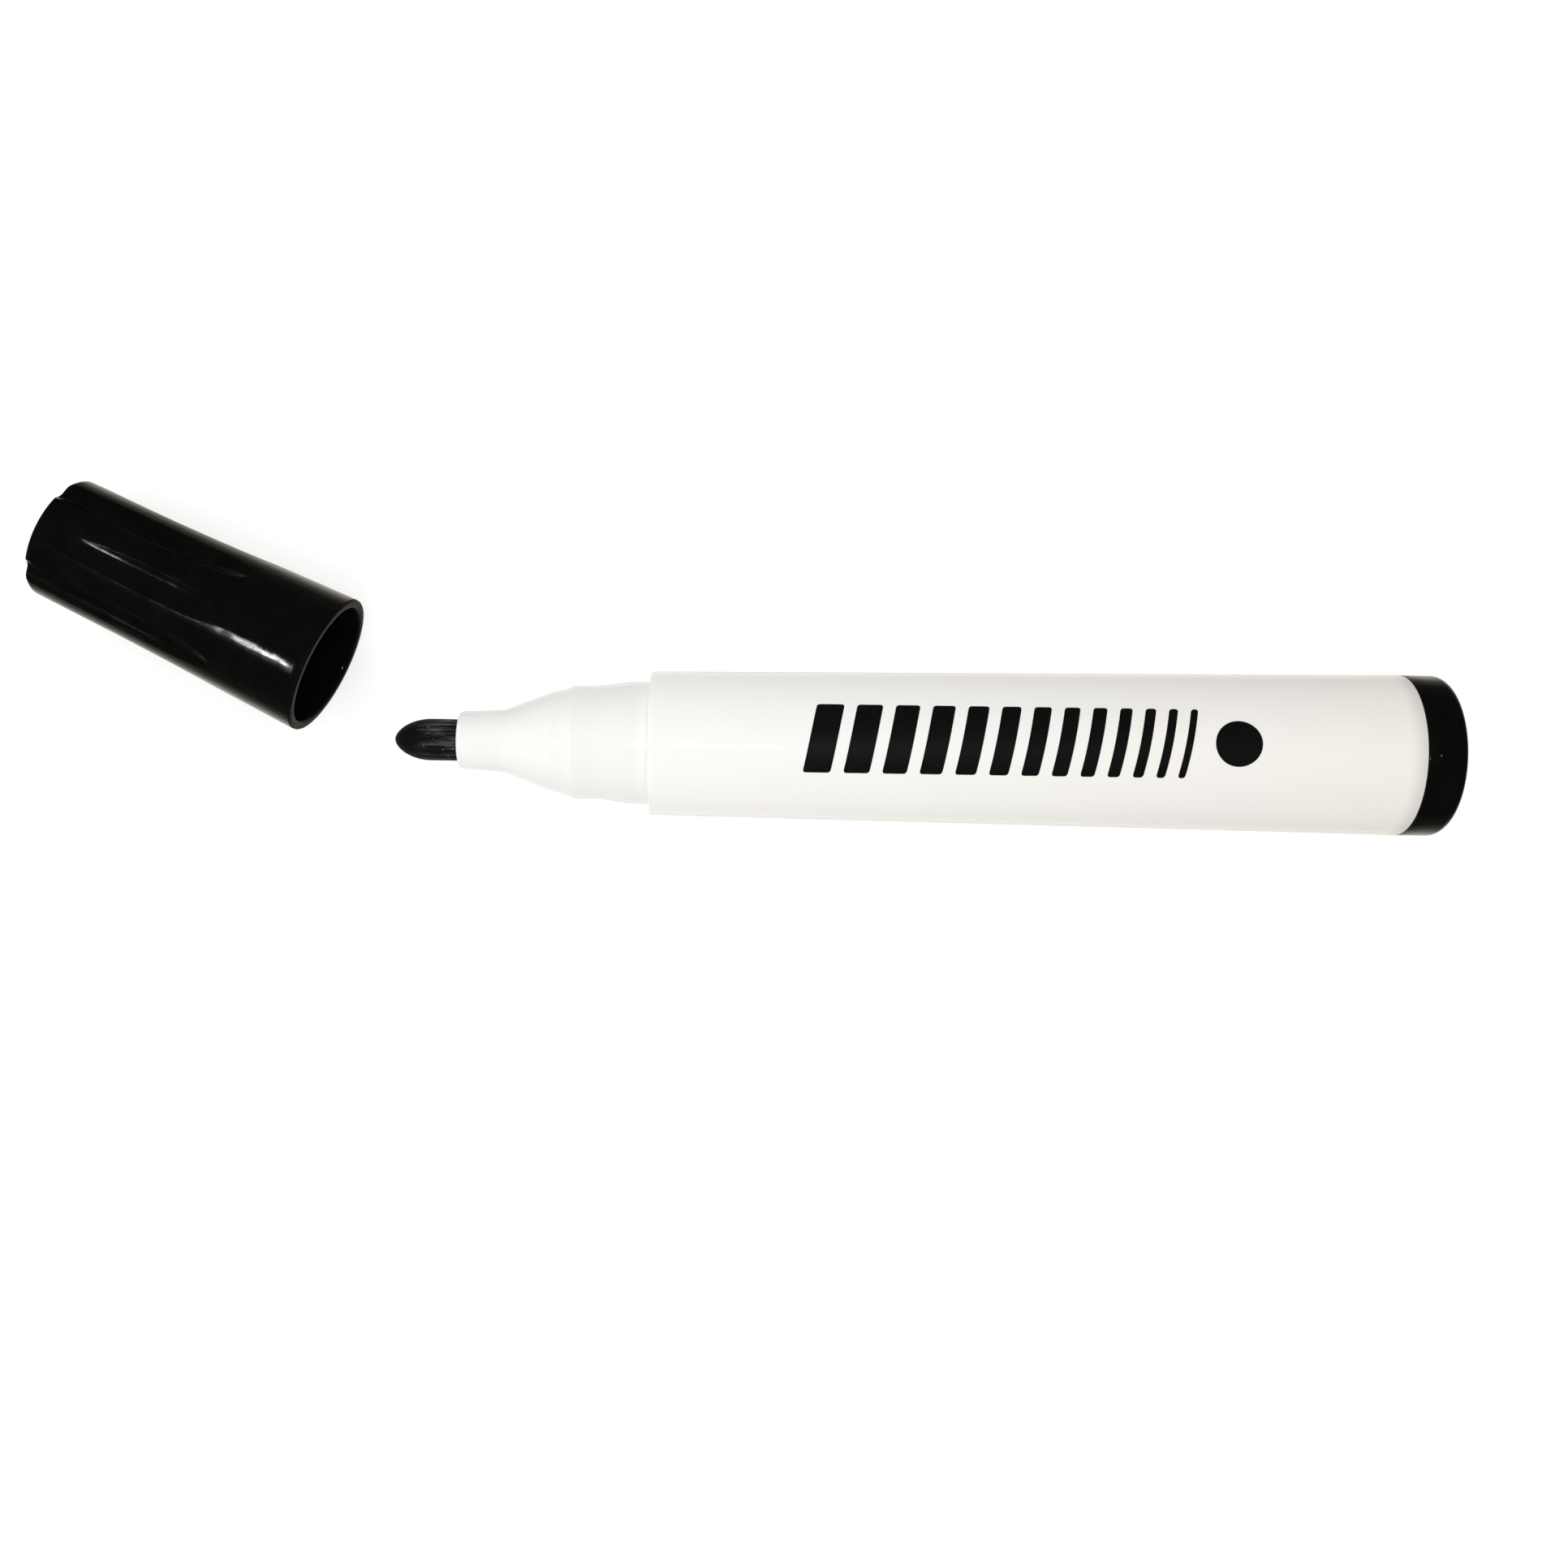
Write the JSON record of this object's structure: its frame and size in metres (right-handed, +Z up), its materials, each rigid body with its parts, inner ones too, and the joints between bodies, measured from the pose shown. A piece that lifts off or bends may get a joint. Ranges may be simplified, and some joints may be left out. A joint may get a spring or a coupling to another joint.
{
  "type": "felt tip marker",
  "caption": "Bullet-tip marker lying on its side with its cap off: tapered barrel, stepped neck, felt nib, end plug and a scalloped push-on cap.",
  "frame": {"origin": "middle of the bounding box of marker and loose cap, at the height of the table they lie on", "axes": "+X along the marker from the nib to the end plug, +Y towards the side where the cap lies, +Z up"},
  "size_m": [0.1456, 0.0346, 0.0165],
  "materials": {
    "white_body": "glossy white moulded polypropylene",
    "white_neck": "glossy white moulded polypropylene",
    "felt": "pressed fibre soaked with black ink",
    "wick": "bonded fibre wick soaked with black ink",
    "film": "thin wrapping film",
    "black_plug": "glossy black moulded plastic",
    "black_cap": "glossy black moulded plastic",
    "liner": "soft black inner sleeve"
  },
  "bodies": {
    "marker": {"barrel": "white_body", "front_section": "white_neck", "nib": "felt", "ink_reservoir": "wick", "reservoir_film": "film", "end_plug": "black_plug"},
    "cap": {"cap_shell": "black_cap", "cap_liner": "liner"}
  },
  "joints": [
    {"name": "cap_swing", "type": "hinge", "parent": "marker", "child": "cap", "pos_m": [-0.00823, 0.07086, 0.00745], "axis": [0.0115, 0.0514, 0.9986], "range_deg": [0, 24.88]}
  ]
}
